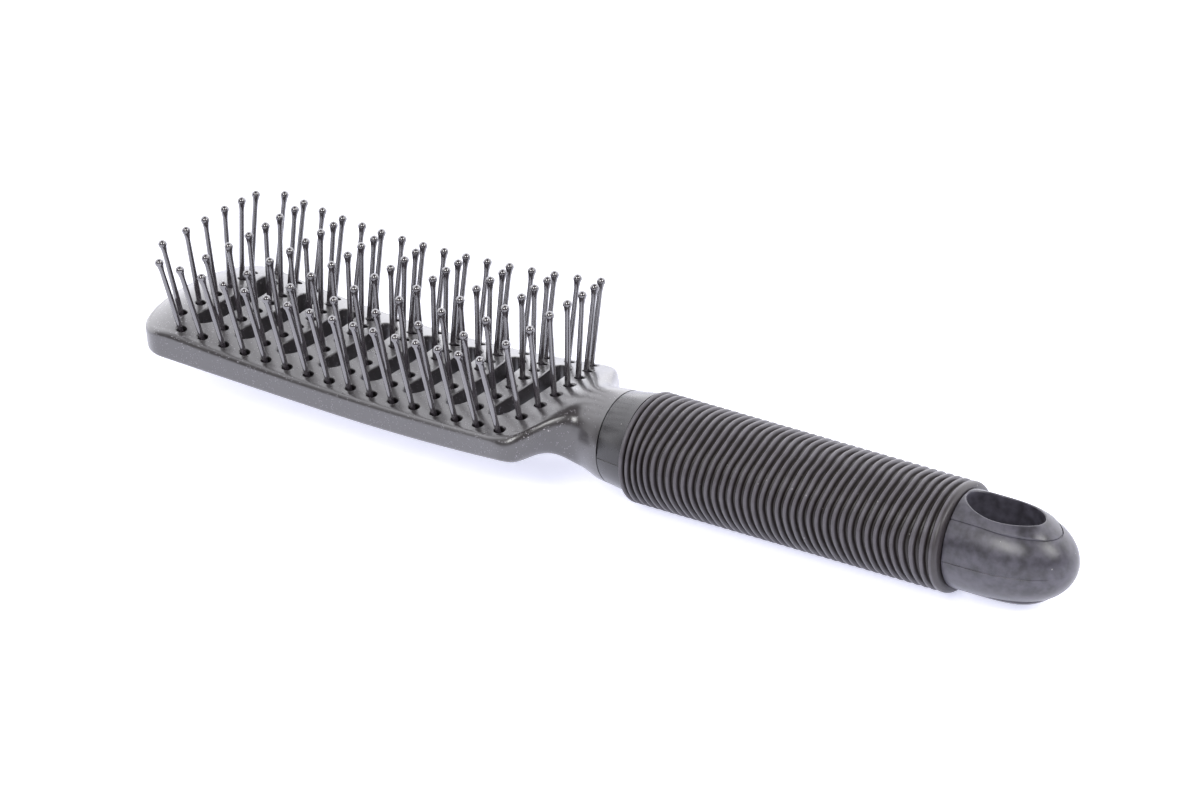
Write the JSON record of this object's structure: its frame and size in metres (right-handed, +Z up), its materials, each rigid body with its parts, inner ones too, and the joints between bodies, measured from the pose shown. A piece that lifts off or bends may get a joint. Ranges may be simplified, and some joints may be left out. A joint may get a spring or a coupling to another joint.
{
  "type": "vent brush",
  "caption": "Vent brush in dark charcoal plastic with long ball-tipped pins, arched slots through the head, a waisted neck, a ribbed black grip sleeve and a hanging eye in the rounded handle end",
  "frame": {"origin": "middle of the brush's length and width, on the surface that the grip sleeve lies on", "axes": "+X along the brush from the head's tip to the hanging end, +Z up along the pins, +Y across the head"},
  "size_m": [0.2212, 0.0446, 0.0402],
  "materials": {
    "sparkle_charcoal": "satin gloss with fine silver flakes",
    "cover_charcoal": "satin gloss with fine silver flakes",
    "pin_nylon": "moulded gloss",
    "handle_black": "satin",
    "grip_rubber": "dull, dusty on the rib crests"
  },
  "bodies": {
    "root": {"head_shell": "sparkle_charcoal", "back_cover": "cover_charcoal", "pin_strip_1": "pin_nylon", "pin_strip_2": "pin_nylon", "pin_strip_3": "pin_nylon", "pin_strip_4": "pin_nylon", "pin_strip_5": "pin_nylon", "pin_strip_6": "pin_nylon", "pin_strip_7": "pin_nylon", "pin_strip_8": "pin_nylon", "pin_strip_9": "pin_nylon", "pin_rail_front": "pin_nylon", "pin_rail_rear": "pin_nylon", "handle_body": "handle_black", "grip_sleeve": "grip_rubber"}
  },
  "joints": []
}
